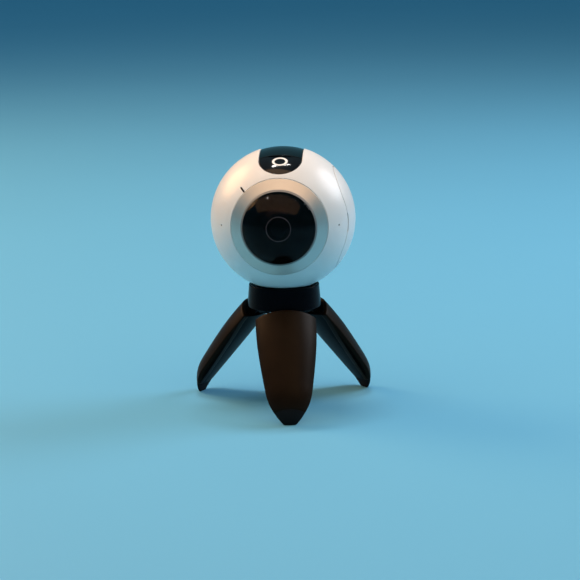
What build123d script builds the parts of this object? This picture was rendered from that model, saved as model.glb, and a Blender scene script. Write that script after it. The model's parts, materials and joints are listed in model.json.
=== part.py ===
from build123d import *
from math import cos, radians, sin, sqrt
import os

# A ball camera with a fisheye lens on each side, standing on a mini tripod whose three
# leaf-shaped legs fold down into a pod. Millimetres. The origin is on the floor, in the
# middle of the circle of the feet; +Z is up and the front lens looks along -Y.

os.makedirs("parts", exist_ok=True)

# Ball
ball_radius = 30.05
centre_height = 78.0
shell_wall = 1.6
base_drop = 27.45

# Clearances
fit_gap = 0.15
slip_gap = 0.05
running_gap = 0.03
motion_gap = 0.35
overrun = 6.0

# Lens module
ring_outer = 19.75
ring_inner = 15.45
ring_front = 25.35
ring_thickness = 1.25
trim_width = 0.35
trim_front = 25.75
dome_rim_radius = 15.05
dome_rim_front = 25.27
dome_apex = 33.35
dome_glass = 1.0
dome_edge = 0.67
flange_radius = 16.9
flange_front = 21.6
flange_thickness = 1.2
cup_floor = 23.4
cup_lip = 1.5
step_radius = 12.4
step_rise = 0.6
nose_radius = 6.2
nose_front = 28.2
barrel_shoulder = 11.5
barrel_shoulder_back = 16.0
barrel_radius = 9.4
tail_radius = 6.8
tail_front = 10.0
barrel_back = 6.0
inner_lens_radius = 5.0
inner_lens_bulge = 1.7
inner_lens_depth = 2.2
lens_ring_width = 0.5
lens_ring_height = 0.35
sensor_side = 16.4
sensor_board = 1.1
sensor_chip_side = 8.0
sensor_chip_depth = 0.8

# Top panel and record button
panel_half_width = 8.85
panel_end_centre = 12.2
panel_inset = 0.25
panel_bottom = 27.4
facet_tilt = 23.2
facet_distance = 29.2
crease_place = 11.0
crease_gap = 0.3
mark_place = 14.6
mark_outer = 3.2
mark_inner = 2.2
mark_height = 0.08
stem_radius = 0.8
stem_spread = 5.0
stem_length = 3.9
frame_top = 26.7
frame_bottom = 25.9
frame_half_width = 9.3
frame_end = 19.8
frame_rim = 0.8
display_width = 13.0
display_length = 11.0
record_switch_radius = 2.0
record_switch_height = 0.9
record_switch_dome = 0.3

# Status light and microphones
light_angle = 134.7
light_inner = 19.95
light_outer = 22.2
light_width = 0.8
light_inset = 0.08
light_depth = 2.4
microphone_place = 24.05
microphone_hole = 0.42
microphone_radius = 1.3
microphone_depth = 1.2

# Power and menu buttons on the blank side
key_radius = 2.1
key_proud = 0.2
key_travel_room = 0.6
key_place = 7.0
key_spread = 5.5
key_head = 1.9
switch_board_width = 6.4
switch_board_length = 17.0
switch_board_thickness = 0.8
switch_side = 3.2
switch_height = 1.0

# Side door
door_half_width = 12.4
door_end_centre = 9.2
door_notch_length = 8.2
door_notch_width = 0.8
door_notch_depth = 0.7
pivot_depth = 1.1
pivot_place = 11.05
knuckle_radius = 0.85
pin_radius = 0.35
door_knuckle_half = 1.5
hinge_half = 3.6
knuckle_web = 1.3
seal_half_width = 7.2
seal_width = 0.9
seal_height = 0.8
deck_front = 19.8
deck_thickness = 1.0
rim_wall = 0.8

# Battery, card and socket behind the door
battery_length = 33.0
battery_height = 30.0
battery_thickness = 7.0
battery_corner = 1.2
battery_end = 19.4
battery_slack = 0.35
bay_wall = 0.8
tab_width = 6.0
tab_length = 5.0
tab_thickness = 0.25
card_width = 11.0
card_length = 15.0
card_thickness = 1.0
card_end = 21.3
card_centre_height = 9.0
card_centre_back = 8.0
card_socket_wall = 0.6
card_socket_length = 12.0
usb_width = 7.5
usb_height = 2.6
usb_wall = 0.35
usb_depth = 6.0
usb_end = 20.4
usb_centre_height = -9.0
usb_tongue = 0.6

# Boards
board_width = 24.0
board_height = 28.0
board_thickness = 1.2
chip_side = 9.0
chip_height = 1.2
chip_spread = 6.0

# Base of the camera
base_radius = 11.0
base_thickness = 1.2
post_radius = 7.0
insert_radius = 5.0
insert_flange = 6.2
insert_flange_thickness = 0.8
insert_length = 7.0
thread_radius = 3.175
base_screw_circle = 8.8
base_screw_radius = 1.1
base_screw_length = 2.6
base_screw_count = 3

# Tripod head
tripod_twist = 6.3
collar_top_radius = 14.65
collar_bottom_radius = 15.45
collar_inner_radius = 13.8
collar_height = 9.5
collar_edge = 0.4
seat_radius = 11.6
seat_thickness = 0.6
seat_gap = 0.1
screw_stub = 5.0
screw_head_radius = 5.0
screw_head_depth = 2.0
hub_radius = 6.2
hub_drop = 2.55

# Legs
leg_count = 3
leg_tilt = 44.0
hinge_reach = 9.0
hinge_drop = 7.5
hinge_barrel = 2.3
hinge_pin_radius = 0.9
lug_half = 2.6
ear_half = 5.5
neck_out = 9.8
neck_in = 6.9
neck_overlap = 1.2
pod_radius = 14.9
leg_top = 6.1
foot_sink = 1.57
leg_gap = 0.36
leg_ridge = 5.6
leg_bow_radius = 40.0
leg_bow_lean = 3.5
cover_wall = 1.7
pad_length = 4.6
pad_inner = 0.9
sweep_angle = 140.0
# How far along the leg, and how wide there as a share of the pod's radius
length_shares = (0, 0.211, 0.473, 0.684, 0.822, 0.916, 0.968, 1)
radius_shares = (1, 0.971, 0.872, 0.756, 0.651, 0.477, 0.315, 0.107)

# Places that follow from the sizes above
centre = Vector(0, 0, centre_height)
inner_radius = ball_radius - shell_wall
base_height = centre_height - base_drop
seat_top = base_height - seat_gap
collar_top = seat_top
collar_bottom = collar_top - collar_height
head_top = seat_top - seat_thickness
hinge_height = collar_top - hinge_drop
hub_bottom = hinge_height - hub_drop
leg_end = (hinge_height - hinge_reach * sin(radians(leg_tilt)) + foot_sink) / cos(radians(leg_tilt))
pad_start = leg_end - pad_length
disc_bottom = hinge_height + hinge_barrel + motion_gap
bay_inner_end = battery_end - battery_length - battery_slack
bay_outer_end = bay_inner_end - bay_wall
bay_half_thickness = battery_thickness / 2 + battery_slack + bay_wall
bay_half_height = battery_height / 2 + battery_slack + bay_wall
deck_back = deck_front - deck_thickness
pivot_distance = ball_radius - pivot_depth
pivot_x = sqrt(pivot_distance**2 - pivot_place**2)
pivot = Vector(pivot_x, pivot_place, centre_height)

camera_plane = Plane(origin=centre)
side_plane = Plane(origin=centre, x_dir=(0, 1, 0), z_dir=(1, 0, 0))
blank_plane = Plane(origin=centre, x_dir=(0, -1, 0), z_dir=(-1, 0, 0))
front_profile = Plane(origin=centre, x_dir=(1, 0, 0), z_dir=(0, 0, -1))
rear_profile = Plane(origin=centre, x_dir=(1, 0, 0), z_dir=(0, 0, 1))
lens_axis = Axis(centre, (0, 1, 0))
sides = (("front", -1, front_profile), ("rear", 1, rear_profile))


def save(builder, name):
    """Labels a finished piece and writes its file."""
    builder.part.label = name
    export_step(builder.part, f"parts/{name}.step")


def sphere_reach(radius, off_axis):
    """How far from the centre plane a sphere is at a distance off its axis."""
    return sqrt(radius**2 - off_axis**2)


def top_opening(extra):
    """The outline of the long opening over the top of the ball that holds the black panel."""
    with BuildSketch(camera_plane.offset(panel_bottom / 2)) as outline:
        SlotCenterToCenter(2 * panel_end_centre, 2 * (panel_half_width + extra), rotation=90)
    return outline.sketch


def top_form(extra):
    """The panel's outline with a top that carries on the ball's curve, a little below it."""
    reach = 2 * ball_radius
    extrude(top_opening(-extra), amount=ball_radius)
    with Locations(centre):
        Sphere(ball_radius - panel_inset, mode=Mode.INTERSECT)
    with BuildSketch(side_plane.offset(-reach / 2)) as underside:
        Circle(panel_bottom)
    extrude(underside.sketch, amount=reach, mode=Mode.SUBTRACT)


# Shells: two half balls that meet under the panel, the door and the rings
for name, way, profile in sides:
    with BuildPart() as shell:
        with Locations(centre):
            Sphere(ball_radius)
            Sphere(inner_radius, mode=Mode.SUBTRACT)
        split(bisect_by=Plane(origin=centre, z_dir=(0, way, 0)), keep=Keep.TOP)
        split(bisect_by=Plane.XY.offset(base_height), keep=Keep.TOP)
        # Recess for the base plate
        with BuildSketch(Plane.XY.offset(base_height)):
            Circle(base_radius + fit_gap)
        extrude(amount=base_thickness, mode=Mode.SUBTRACT)
        # Round opening for the lens ring
        with BuildSketch(Plane(origin=centre, z_dir=(0, way, 0))):
            Circle(ring_outer + fit_gap)
        extrude(amount=ball_radius, mode=Mode.SUBTRACT)
        # Opening for the top panel
        extrude(top_opening(fit_gap), amount=ball_radius, mode=Mode.SUBTRACT)
        # Opening for the side door
        with BuildSketch(side_plane.offset(deck_back / 2)):
            SlotCenterToCenter(2 * door_end_centre, 2 * door_half_width, rotation=90)
        extrude(amount=ball_radius, mode=Mode.SUBTRACT)
        if way < 0:
            # Slit for the status light, beside the ring
            with BuildSketch(Plane(origin=centre, x_dir=(1, 0, 0), z_dir=(0, -1, 0))):
                with PolarLocations((light_inner + light_outer) / 2, 1, light_angle):
                    Rectangle(light_outer - light_inner, light_width)
            extrude(amount=ball_radius, mode=Mode.SUBTRACT)
            # A small round hole in front of each microphone
            for edge in (-1, 1):
                out = Vector(edge * microphone_place, -sphere_reach(ball_radius, microphone_place), 0)
                with BuildSketch(Plane(origin=centre, z_dir=out)):
                    Circle(microphone_hole)
                extrude(amount=ball_radius, mode=Mode.SUBTRACT)
        else:
            # Round holes for the power and menu buttons
            with BuildSketch(blank_plane):
                with Locations((-key_place, key_spread), (-key_place, -key_spread)):
                    Circle(key_radius + fit_gap)
            extrude(amount=ball_radius, mode=Mode.SUBTRACT)
            # Two knuckles that carry the door's pin, on webs from the opening's edge
            web_reach = door_half_width + shell_wall / 2 - pivot_place
            for low in (-hinge_half, door_knuckle_half + fit_gap):
                height = hinge_half - door_knuckle_half - fit_gap
                with BuildSketch(Plane.XY.offset(centre_height + low)):
                    with Locations((pivot.X, pivot.Y)):
                        Circle(knuckle_radius)
                    with Locations((pivot.X - knuckle_radius / 3, pivot.Y + web_reach / 2)):
                        Rectangle(knuckle_radius * 4 / 3, web_reach)
                extrude(amount=height)
            with BuildSketch(Plane.XY.offset(centre_height - hinge_half)):
                with Locations((pivot.X, pivot.Y)):
                    Circle(pin_radius)
            extrude(amount=2 * hinge_half, mode=Mode.SUBTRACT)
    save(shell, f"{name}_shell")

# Lens modules, the same at the front and the rear
dome_height = dome_apex - dome_rim_front
dome_radius = (dome_rim_radius**2 + dome_height**2) / (2 * dome_height)
dome_centre = dome_apex - dome_radius
dome_seat = dome_rim_front - dome_edge
dome_inside = dome_radius - dome_glass
dome_bore = sphere_reach(dome_inside, dome_seat - dome_centre)
lens_sphere = (inner_lens_radius**2 + inner_lens_bulge**2) / (2 * inner_lens_bulge)

for name, way, profile in sides:
    # Satin ring, a shallow cone that carries the ball's curve on to the glass
    with BuildPart() as ring:
        with BuildSketch(profile):
            with BuildLine():
                ring_edge = sphere_reach(ball_radius, ring_outer)
                Polyline((ring_inner, ring_front), (ring_outer, ring_edge), (ring_outer, flange_front),
                         (flange_radius - ring_thickness, flange_front),
                         (ring_inner, ring_front - ring_thickness), (ring_inner, ring_front))
            make_face()
        revolve(axis=lens_axis)
    save(ring, f"{name}_ring")

    # Bright trim round the glass
    with BuildPart() as trim:
        with BuildSketch(profile):
            with BuildLine():
                low = dome_rim_radius + slip_gap
                Polyline((low, dome_seat), (low + trim_width, dome_seat), (low + trim_width, ring_front),
                         (low, trim_front), (low, dome_seat))
            make_face()
        revolve(axis=lens_axis)
    save(trim, f"{name}_trim")

    # Glass dome of even thickness with a straight edge
    with BuildPart() as dome:
        with BuildSketch(profile):
            with BuildLine():
                half = dome_rim_radius / 2
                half_in = dome_bore / 2
                ThreePointArc((0, dome_apex), (half, dome_centre + sphere_reach(dome_radius, half)),
                              (dome_rim_radius, dome_rim_front))
                Polyline((dome_rim_radius, dome_rim_front), (dome_rim_radius, dome_seat),
                         (dome_bore, dome_seat))
                ThreePointArc((dome_bore, dome_seat),
                              (half_in, dome_centre + sphere_reach(dome_inside, half_in)),
                              (0, dome_centre + dome_inside))
                Line((0, dome_centre + dome_inside), (0, dome_apex))
            make_face()
        revolve(axis=lens_axis)
    save(dome, f"{name}_dome")

    # Barrel: a cup under the glass, a flange behind the ring and a stepped tube to the sensor
    with BuildPart() as barrel:
        with BuildSketch(profile):
            with BuildLine():
                cup_radius = ring_inner - fit_gap
                flange_back = flange_front - flange_thickness
                Polyline((0, barrel_back), (tail_radius, barrel_back), (tail_radius, tail_front),
                         (barrel_radius, tail_front), (barrel_radius, barrel_shoulder_back),
                         (barrel_shoulder, barrel_shoulder_back),
                         (barrel_shoulder, flange_back), (flange_radius, flange_back),
                         (flange_radius, flange_front), (cup_radius, flange_front),
                         (cup_radius, dome_seat), (cup_radius - cup_lip, dome_seat),
                         (step_radius, cup_floor + step_rise), (step_radius, cup_floor),
                         (nose_radius + step_rise, cup_floor), (nose_radius, nose_front),
                         (inner_lens_radius, nose_front),
                         (inner_lens_radius, nose_front - inner_lens_depth),
                         (0, nose_front - inner_lens_depth), (0, barrel_back))
            make_face()
        revolve(axis=lens_axis)
    save(barrel, f"{name}_barrel")

    # Inner lens in the barrel's nose
    with BuildPart() as inner_lens:
        with BuildSketch(profile):
            with BuildLine():
                edge = inner_lens_radius - running_gap
                half = edge / 2
                base = nose_front + inner_lens_bulge - lens_sphere
                ThreePointArc((0, nose_front + inner_lens_bulge),
                              (half, base + sphere_reach(lens_sphere, half)),
                              (edge, base + sphere_reach(lens_sphere, edge)))
                Polyline((edge, base + sphere_reach(lens_sphere, edge)),
                         (edge, nose_front - inner_lens_depth), (0, nose_front - inner_lens_depth),
                         (0, nose_front + inner_lens_bulge))
            make_face()
        revolve(axis=lens_axis)
    save(inner_lens, f"{name}_inner_lens")

    # Thin ring that clamps the inner lens
    with BuildPart() as lens_ring:
        with BuildSketch(profile):
            ring_middle = inner_lens_radius + lens_ring_width / 2 + slip_gap
            with Locations((ring_middle, nose_front + lens_ring_height / 2)):
                Rectangle(lens_ring_width, lens_ring_height)
        revolve(axis=lens_axis)
    save(lens_ring, f"{name}_lens_ring")

    # Sensor board flat against the barrel's end
    with BuildPart() as sensor:
        with BuildSketch(Plane(origin=centre + Vector(0, way * barrel_back, 0), z_dir=(0, -way, 0))):
            RectangleRounded(sensor_side, sensor_side, sensor_board)
        extrude(amount=sensor_board)
    save(sensor, f"{name}_sensor_board")

# Top panel, cut short at the crease, where the record button starts
crease_cut = Plane(origin=centre - Vector(0, crease_place, 0), z_dir=(0, 1, 0))
with BuildPart() as top_panel:
    top_form(0)
    split(bisect_by=crease_cut, keep=Keep.TOP)
save(top_panel, "top_panel")

# Record button: the front end of the panel, with a flat facet that a thumb finds
facet_normal = Vector(0, -sin(radians(facet_tilt)), cos(radians(facet_tilt)))
mark_depth = (facet_distance - mark_place * sin(radians(facet_tilt))) / cos(radians(facet_tilt))
mark_centre = centre + Vector(0, -mark_place, mark_depth)
mark_plane = Plane(origin=mark_centre, x_dir=(1, 0, 0), z_dir=facet_normal)
with BuildPart() as record_button:
    top_form(fit_gap)
    split(bisect_by=crease_cut.offset(-crease_gap), keep=Keep.BOTTOM)
    split(bisect_by=mark_plane, keep=Keep.BOTTOM)
    with BuildSketch(mark_plane):
        Circle(mark_outer)
        Circle(mark_inner, mode=Mode.SUBTRACT)
    extrude(amount=-mark_height, mode=Mode.SUBTRACT)
    # Two stems that guide it through the frame
    with BuildSketch(mark_plane):
        with Locations((-stem_spread, 0), (stem_spread, 0)):
            Circle(stem_radius)
    extrude(amount=-stem_length)
save(record_button, "record_button")

# White ring let into the button's facet
with BuildPart() as record_mark:
    with BuildSketch(mark_plane):
        Circle(mark_outer)
        Circle(mark_inner, mode=Mode.SUBTRACT)
    extrude(amount=-mark_height)
save(record_mark, "record_mark")

# Frame under the panel, bowed with the ball, with a rim that the panel rests on
switch_plane = Plane(origin=centre, x_dir=(1, 0, 0), z_dir=mark_centre - centre)
with BuildPart() as panel_frame:
    with BuildSketch(side_plane.offset(-frame_half_width)):
        Circle(panel_bottom - slip_gap)
        Circle(frame_bottom, mode=Mode.SUBTRACT)
    extrude(amount=2 * frame_half_width)
    with BuildSketch(side_plane.offset(-frame_half_width)):
        Circle(panel_bottom)
        Circle(frame_top, mode=Mode.SUBTRACT)
    upper_layer = extrude(amount=2 * frame_half_width, mode=Mode.PRIVATE)
    well = extrude(top_opening(-frame_rim), amount=ball_radius, mode=Mode.PRIVATE)
    add(upper_layer & well, mode=Mode.SUBTRACT)
    # No rim under the record button, so that it has room to move
    add(upper_layer.split(crease_cut, keep=Keep.BOTTOM), mode=Mode.SUBTRACT)
    with BuildSketch(mark_plane):
        with Locations((-stem_spread, 0), (stem_spread, 0)):
            Circle(stem_radius + running_gap)
    extrude(amount=-2 * stem_length, mode=Mode.SUBTRACT)
    with BuildSketch(camera_plane.offset(panel_bottom / 2)):
        Rectangle(2 * frame_half_width, 2 * frame_end)
    extrude(amount=ball_radius, mode=Mode.INTERSECT)
    with Locations(centre):
        Sphere(inner_radius - slip_gap, mode=Mode.INTERSECT)
    with BuildSketch(switch_plane.offset(frame_bottom - shell_wall)):
        Circle(record_switch_radius + slip_gap)
    extrude(amount=ball_radius, mode=Mode.SUBTRACT)
save(panel_frame, "panel_frame")

# Switch under the record button, let into the frame
with BuildPart() as record_switch:
    with BuildSketch(switch_plane.offset(frame_bottom - record_switch_height / 2)):
        Circle(record_switch_radius)
    extrude(amount=record_switch_height)
    with BuildSketch(switch_plane.offset(frame_bottom + record_switch_height / 2)):
        Circle(record_switch_radius / 2)
    extrude(amount=record_switch_dome)
save(record_switch, "record_switch")

# Small display under the dark panel
with BuildPart() as display:
    with BuildSketch(side_plane.offset(-display_width / 2)):
        Circle(panel_bottom - slip_gap)
        Circle(frame_top + slip_gap, mode=Mode.SUBTRACT)
    extrude(amount=display_width)
    with BuildSketch(camera_plane.offset(panel_bottom / 2)):
        Rectangle(display_width, display_length)
    extrude(amount=ball_radius, mode=Mode.INTERSECT)
save(display, "display_module")

# Light guide of the status light, just below the shell's surface
with BuildPart() as status_light:
    light_plane = Plane(origin=centre, x_dir=(1, 0, 0), z_dir=(0, -1, 0))
    with BuildSketch(light_plane.offset(flange_front - light_depth)):
        with PolarLocations((light_inner + light_outer) / 2, 1, light_angle):
            Rectangle(light_outer - light_inner - 2 * slip_gap, light_width - 2 * slip_gap)
    extrude(amount=ball_radius)
    with Locations(centre):
        Sphere(ball_radius - light_inset, mode=Mode.INTERSECT)
save(status_light, "status_light")

# Two microphones behind their holes
with BuildPart() as microphones:
    for edge in (-1, 1):
        out = Vector(edge * microphone_place, -sphere_reach(ball_radius, microphone_place), 0)
        with BuildSketch(Plane(origin=centre, z_dir=out).offset(inner_radius - microphone_depth - slip_gap)):
            Circle(microphone_radius)
        extrude(amount=microphone_depth)
    with Locations(centre):
        Sphere(inner_radius - slip_gap, mode=Mode.INTERSECT)
save(microphones, "microphones")

# Power and menu buttons, domed with the ball, and the switches behind them
key_reach = sqrt(ball_radius**2 - key_place**2 - key_spread**2)
for name, height in (("power_button", key_spread), ("menu_button", -key_spread)):
    with BuildPart() as key:
        with BuildSketch(blank_plane.offset(key_reach - shell_wall - key_head)):
            with Locations((-key_place, height)):
                Circle(key_radius)
        extrude(amount=ball_radius)
        with Locations(centre):
            Sphere(ball_radius + key_proud, mode=Mode.INTERSECT)
    save(key, name)

key_back = key_reach - shell_wall - key_head
with BuildPart() as side_switches:
    with BuildSketch(blank_plane.offset(key_back - key_travel_room - switch_height - switch_board_thickness)):
        with Locations((-key_place, 0)):
            Rectangle(switch_board_width, switch_board_length)
    extrude(amount=switch_board_thickness)
    with BuildSketch(blank_plane.offset(key_back - key_travel_room - switch_height)):
        with Locations((-key_place, key_spread), (-key_place, -key_spread)):
            Rectangle(switch_side, switch_side)
    extrude(amount=switch_height)
    # Posts that hold the board against the rear shell
    with BuildSketch(blank_plane.offset(key_back - key_travel_room - switch_height)):
        with Locations((-key_place, 0)):
            Circle(switch_board_thickness)
    extrude(amount=ball_radius)
    with Locations(centre):
        Sphere(inner_radius - slip_gap, mode=Mode.INTERSECT)
save(side_switches, "side_switches")

# Side door: a piece of the ball in the outline of its opening, with a knuckle at the rear edge
pivot_axis = Axis(pivot, (0, 0, 1))
with BuildPart() as side_door:
    with Locations(centre):
        Sphere(ball_radius)
        Sphere(inner_radius, mode=Mode.SUBTRACT)
    with BuildSketch(side_plane.offset(deck_back / 2)):
        SlotCenterToCenter(2 * door_end_centre, 2 * (door_half_width - fit_gap), rotation=90)
    extrude(amount=ball_radius, mode=Mode.INTERSECT)
    # Room for the hinge
    with BuildSketch(Plane.XY.offset(centre_height - hinge_half - fit_gap)):
        with Locations((pivot.X, pivot.Y - knuckle_web)):
            Rectangle(ball_radius / 3, ball_radius, align=(Align.CENTER, Align.MIN))
    extrude(amount=2 * (hinge_half + fit_gap), mode=Mode.SUBTRACT)
    # Knuckle and its web
    with BuildSketch(Plane.XY.offset(centre_height - door_knuckle_half)):
        with Locations((pivot.X, pivot.Y)):
            Circle(knuckle_radius)
        with Locations((pivot.X, pivot.Y - knuckle_web)):
            Rectangle(knuckle_radius * 4 / 3, 2 * knuckle_web)
        with Locations((pivot.X, pivot.Y)):
            Circle(pin_radius + running_gap, mode=Mode.SUBTRACT)
    extrude(amount=2 * door_knuckle_half)
    # Nail notch on the front edge
    notch_out = sphere_reach(ball_radius, door_half_width)
    with BuildSketch(side_plane.offset(notch_out - door_notch_depth)):
        with Locations((-door_half_width, 0)):
            SlotOverall(door_notch_length, 2 * door_notch_width, rotation=90)
    extrude(amount=ball_radius, mode=Mode.SUBTRACT)
save(side_door, "side_door")

with BuildPart() as door_pin:
    with BuildSketch(Plane.XY.offset(centre_height - hinge_half)):
        with Locations((pivot.X, pivot.Y)):
            Circle(pin_radius)
    extrude(amount=2 * hinge_half)
save(door_pin, "door_pin")

# Rubber seal on the door's inner face
with BuildPart() as door_seal:
    with Locations(centre):
        Sphere(inner_radius)
        Sphere(inner_radius - seal_height, mode=Mode.SUBTRACT)
    with BuildSketch(side_plane.offset(deck_back / 2)):
        SlotCenterToCenter(2 * door_end_centre, 2 * seal_half_width, rotation=90)
        SlotCenterToCenter(2 * door_end_centre, 2 * (seal_half_width - seal_width), rotation=90,
                           mode=Mode.SUBTRACT)
    extrude(amount=ball_radius, mode=Mode.INTERSECT)
save(door_seal, "door_seal")

# Deck behind the door, with openings for the battery, the card and the socket
with BuildPart() as port_deck:
    with BuildSketch(side_plane.offset(deck_back)):
        SlotCenterToCenter(2 * door_end_centre, 2 * (door_half_width + rim_wall), rotation=90)
    extrude(amount=ball_radius)
    with BuildSketch(side_plane.offset(deck_front)):
        SlotCenterToCenter(2 * door_end_centre, 2 * door_half_width, rotation=90)
    extrude(amount=ball_radius, mode=Mode.SUBTRACT)
    with BuildSketch(side_plane.offset(deck_back)):
        Rectangle(battery_thickness + 2 * battery_slack, battery_height + 2 * battery_slack)
        with Locations((card_centre_back, card_centre_height)):
            Rectangle(card_thickness + 2 * battery_slack, card_width + 2 * battery_slack)
        with Locations((card_centre_back, usb_centre_height)):
            Rectangle(usb_height + 2 * slip_gap, usb_width + 2 * slip_gap)
    extrude(amount=ball_radius, mode=Mode.SUBTRACT)
    with Locations(centre):
        Sphere(inner_radius - slip_gap, mode=Mode.INTERSECT)
save(port_deck, "port_deck")

# Battery and the bay that it slides into
with BuildPart() as battery:
    with BuildSketch(side_plane.offset(battery_end - battery_length)):
        RectangleRounded(battery_thickness, battery_height, battery_corner)
    extrude(amount=battery_length)
save(battery, "battery")

with BuildPart() as pull_tab:
    with BuildSketch(side_plane.offset(battery_end)):
        with Locations((0, battery_height / 4)):
            RectangleRounded(tab_width, tab_length, battery_corner)
    extrude(amount=tab_thickness)
save(pull_tab, "battery_pull_tab")

with BuildPart() as battery_bay:
    with BuildSketch(side_plane.offset(bay_outer_end)):
        RectangleRounded(2 * bay_half_thickness, 2 * bay_half_height, battery_corner)
    extrude(amount=deck_back - bay_outer_end)
    with BuildSketch(side_plane.offset(bay_inner_end)):
        Rectangle(battery_thickness + 2 * battery_slack, battery_height + 2 * battery_slack)
    extrude(amount=2 * ball_radius, mode=Mode.SUBTRACT)
    # Post down to the base, with a socket for the threaded insert
    with BuildSketch(Plane.XY.offset(base_height + base_thickness)):
        Circle(post_radius)
    extrude(amount=base_drop - base_thickness - bay_half_height + bay_wall)
    with BuildSketch(Plane.XY.offset(base_height)):
        Circle(insert_radius + running_gap)
    extrude(amount=insert_length + slip_gap, mode=Mode.SUBTRACT)
save(battery_bay, "battery_bay")

# Memory card and its socket
with BuildPart() as memory_card:
    with BuildSketch(side_plane.offset(card_end - card_length)):
        with Locations((card_centre_back, card_centre_height)):
            Rectangle(card_thickness, card_width)
    extrude(amount=card_length)
save(memory_card, "memory_card")

with BuildPart() as card_socket:
    with BuildSketch(side_plane.offset(deck_back - card_socket_length)):
        with Locations((card_centre_back, card_centre_height)):
            Rectangle(card_thickness + 2 * card_socket_wall, card_width + 2 * card_socket_wall)
    extrude(amount=card_socket_length)
    with BuildSketch(side_plane.offset(card_end - card_length)):
        with Locations((card_centre_back, card_centre_height)):
            Rectangle(card_thickness + 2 * slip_gap, card_width + 2 * slip_gap)
    extrude(amount=card_length, mode=Mode.SUBTRACT)
save(card_socket, "card_socket")

# Charging socket: a metal sleeve with a tongue
with BuildPart() as usb_socket:
    with BuildSketch(side_plane.offset(usb_end - usb_depth)):
        with Locations((card_centre_back, usb_centre_height)):
            Rectangle(usb_height, usb_width)
    extrude(amount=usb_depth)
    with BuildSketch(side_plane.offset(usb_end - usb_depth + usb_wall)):
        with Locations((card_centre_back, usb_centre_height)):
            Rectangle(usb_height - 2 * usb_wall, usb_width - 2 * usb_wall)
            Rectangle(usb_tongue, usb_width / 2, mode=Mode.SUBTRACT)
    extrude(amount=usb_depth, mode=Mode.SUBTRACT)
save(usb_socket, "usb_socket")

# Main board behind the bay, with its two chips
with BuildPart() as main_board:
    with BuildSketch(side_plane.offset(bay_outer_end - board_thickness - slip_gap)):
        RectangleRounded(board_width, board_height, battery_corner)
    extrude(amount=board_thickness)
    with BuildSketch(side_plane.offset(bay_outer_end - board_thickness - slip_gap)):
        with Locations((0, chip_spread), (0, -chip_spread)):
            Rectangle(chip_side, chip_side)
    extrude(amount=-chip_height)
save(main_board, "main_board")

# Base plate, its screws and the brass thread that the tripod screws into
base_places = PolarLocations(base_screw_circle, base_screw_count)
with BuildPart() as base_plate:
    with BuildSketch(Plane.XY.offset(base_height)):
        Circle(base_radius)
        Circle(insert_flange + slip_gap, mode=Mode.SUBTRACT)
    extrude(amount=base_thickness)
    with BuildSketch(Plane.XY.offset(base_height + insert_flange_thickness)):
        Circle(base_radius)
        Circle(insert_radius + slip_gap, mode=Mode.SUBTRACT)
    extrude(amount=base_thickness - insert_flange_thickness)
    with BuildSketch(Plane.XY.offset(base_height)):
        with base_places:
            Circle(base_screw_radius)
    extrude(amount=base_thickness, mode=Mode.SUBTRACT)
save(base_plate, "base_plate")

with BuildPart() as base_screws:
    with BuildSketch(Plane.XY.offset(base_height)):
        with base_places:
            Circle(base_screw_radius)
    extrude(amount=base_screw_length)
save(base_screws, "base_screws")

with BuildPart() as thread_insert:
    with BuildSketch(Plane.XY.offset(base_height)):
        Circle(insert_flange)
    extrude(amount=insert_flange_thickness)
    with BuildSketch(Plane.XY.offset(base_height)):
        Circle(insert_radius)
    extrude(amount=insert_length)
    with BuildSketch(Plane.XY.offset(base_height)):
        Circle(thread_radius + running_gap)
    extrude(amount=insert_length - insert_flange_thickness, mode=Mode.SUBTRACT)
save(thread_insert, "thread_insert")

# Tripod: collar, head with three lugs, rubber seat and the screw
foot_angles = [-90 + tripod_twist + number * 360 / leg_count for number in range(leg_count)]
with BuildPart() as collar:
    with BuildSketch(Plane.XY.offset(collar_bottom)):
        Circle(collar_bottom_radius)
    with BuildSketch(Plane.XY.offset(collar_top)):
        Circle(collar_top_radius)
    loft()
    fillet(collar.edges().filter_by(GeomType.CIRCLE), collar_edge)
    with BuildSketch(Plane.XY.offset(collar_bottom)):
        Circle(collar_inner_radius)
    extrude(amount=collar_height, mode=Mode.SUBTRACT)
save(collar, "collar")


def radial_plane(angle):
    """Upright plane through the tripod's axis: x points outward at the angle, y up."""
    out = Vector(cos(radians(angle)), sin(radians(angle)), 0)
    return Plane(origin=(0, 0, 0), x_dir=out, z_dir=out.cross(Vector(0, 0, 1)))


with BuildPart() as head:
    with BuildSketch(Plane.XY.offset(disc_bottom)):
        Circle(collar_inner_radius - slip_gap)
    extrude(amount=head_top - disc_bottom)
    with BuildSketch(Plane.XY.offset(hub_bottom)):
        Circle(hub_radius)
    extrude(amount=disc_bottom - hub_bottom)
    for angle in foot_angles:
        with BuildSketch(radial_plane(angle).offset(-lug_half)):
            with Locations((hinge_reach, hinge_height)):
                Circle(hinge_barrel)
                Rectangle(2 * hinge_barrel, disc_bottom - hinge_height, align=(Align.CENTER, Align.MIN))
        extrude(amount=2 * lug_half)
    for angle in foot_angles:
        with BuildSketch(radial_plane(angle).offset(-lug_half)):
            with Locations((hinge_reach, hinge_height)):
                Circle(hinge_pin_radius)
        extrude(amount=2 * lug_half, mode=Mode.SUBTRACT)
    # Well for the screw's head
    with BuildSketch(Plane.XY.offset(head_top - screw_head_depth)):
        Circle(screw_head_radius)
    extrude(amount=screw_head_depth, mode=Mode.SUBTRACT)
save(head, "tripod_head")

with BuildPart() as mount_screw:
    with BuildSketch(Plane.XY.offset(head_top - screw_head_depth)):
        Circle(screw_head_radius)
    extrude(amount=screw_head_depth)
    with BuildSketch(Plane.XY.offset(head_top)):
        Circle(thread_radius)
    extrude(amount=seat_thickness + seat_gap + screw_stub)
save(mount_screw, "mount_screw")

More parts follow.
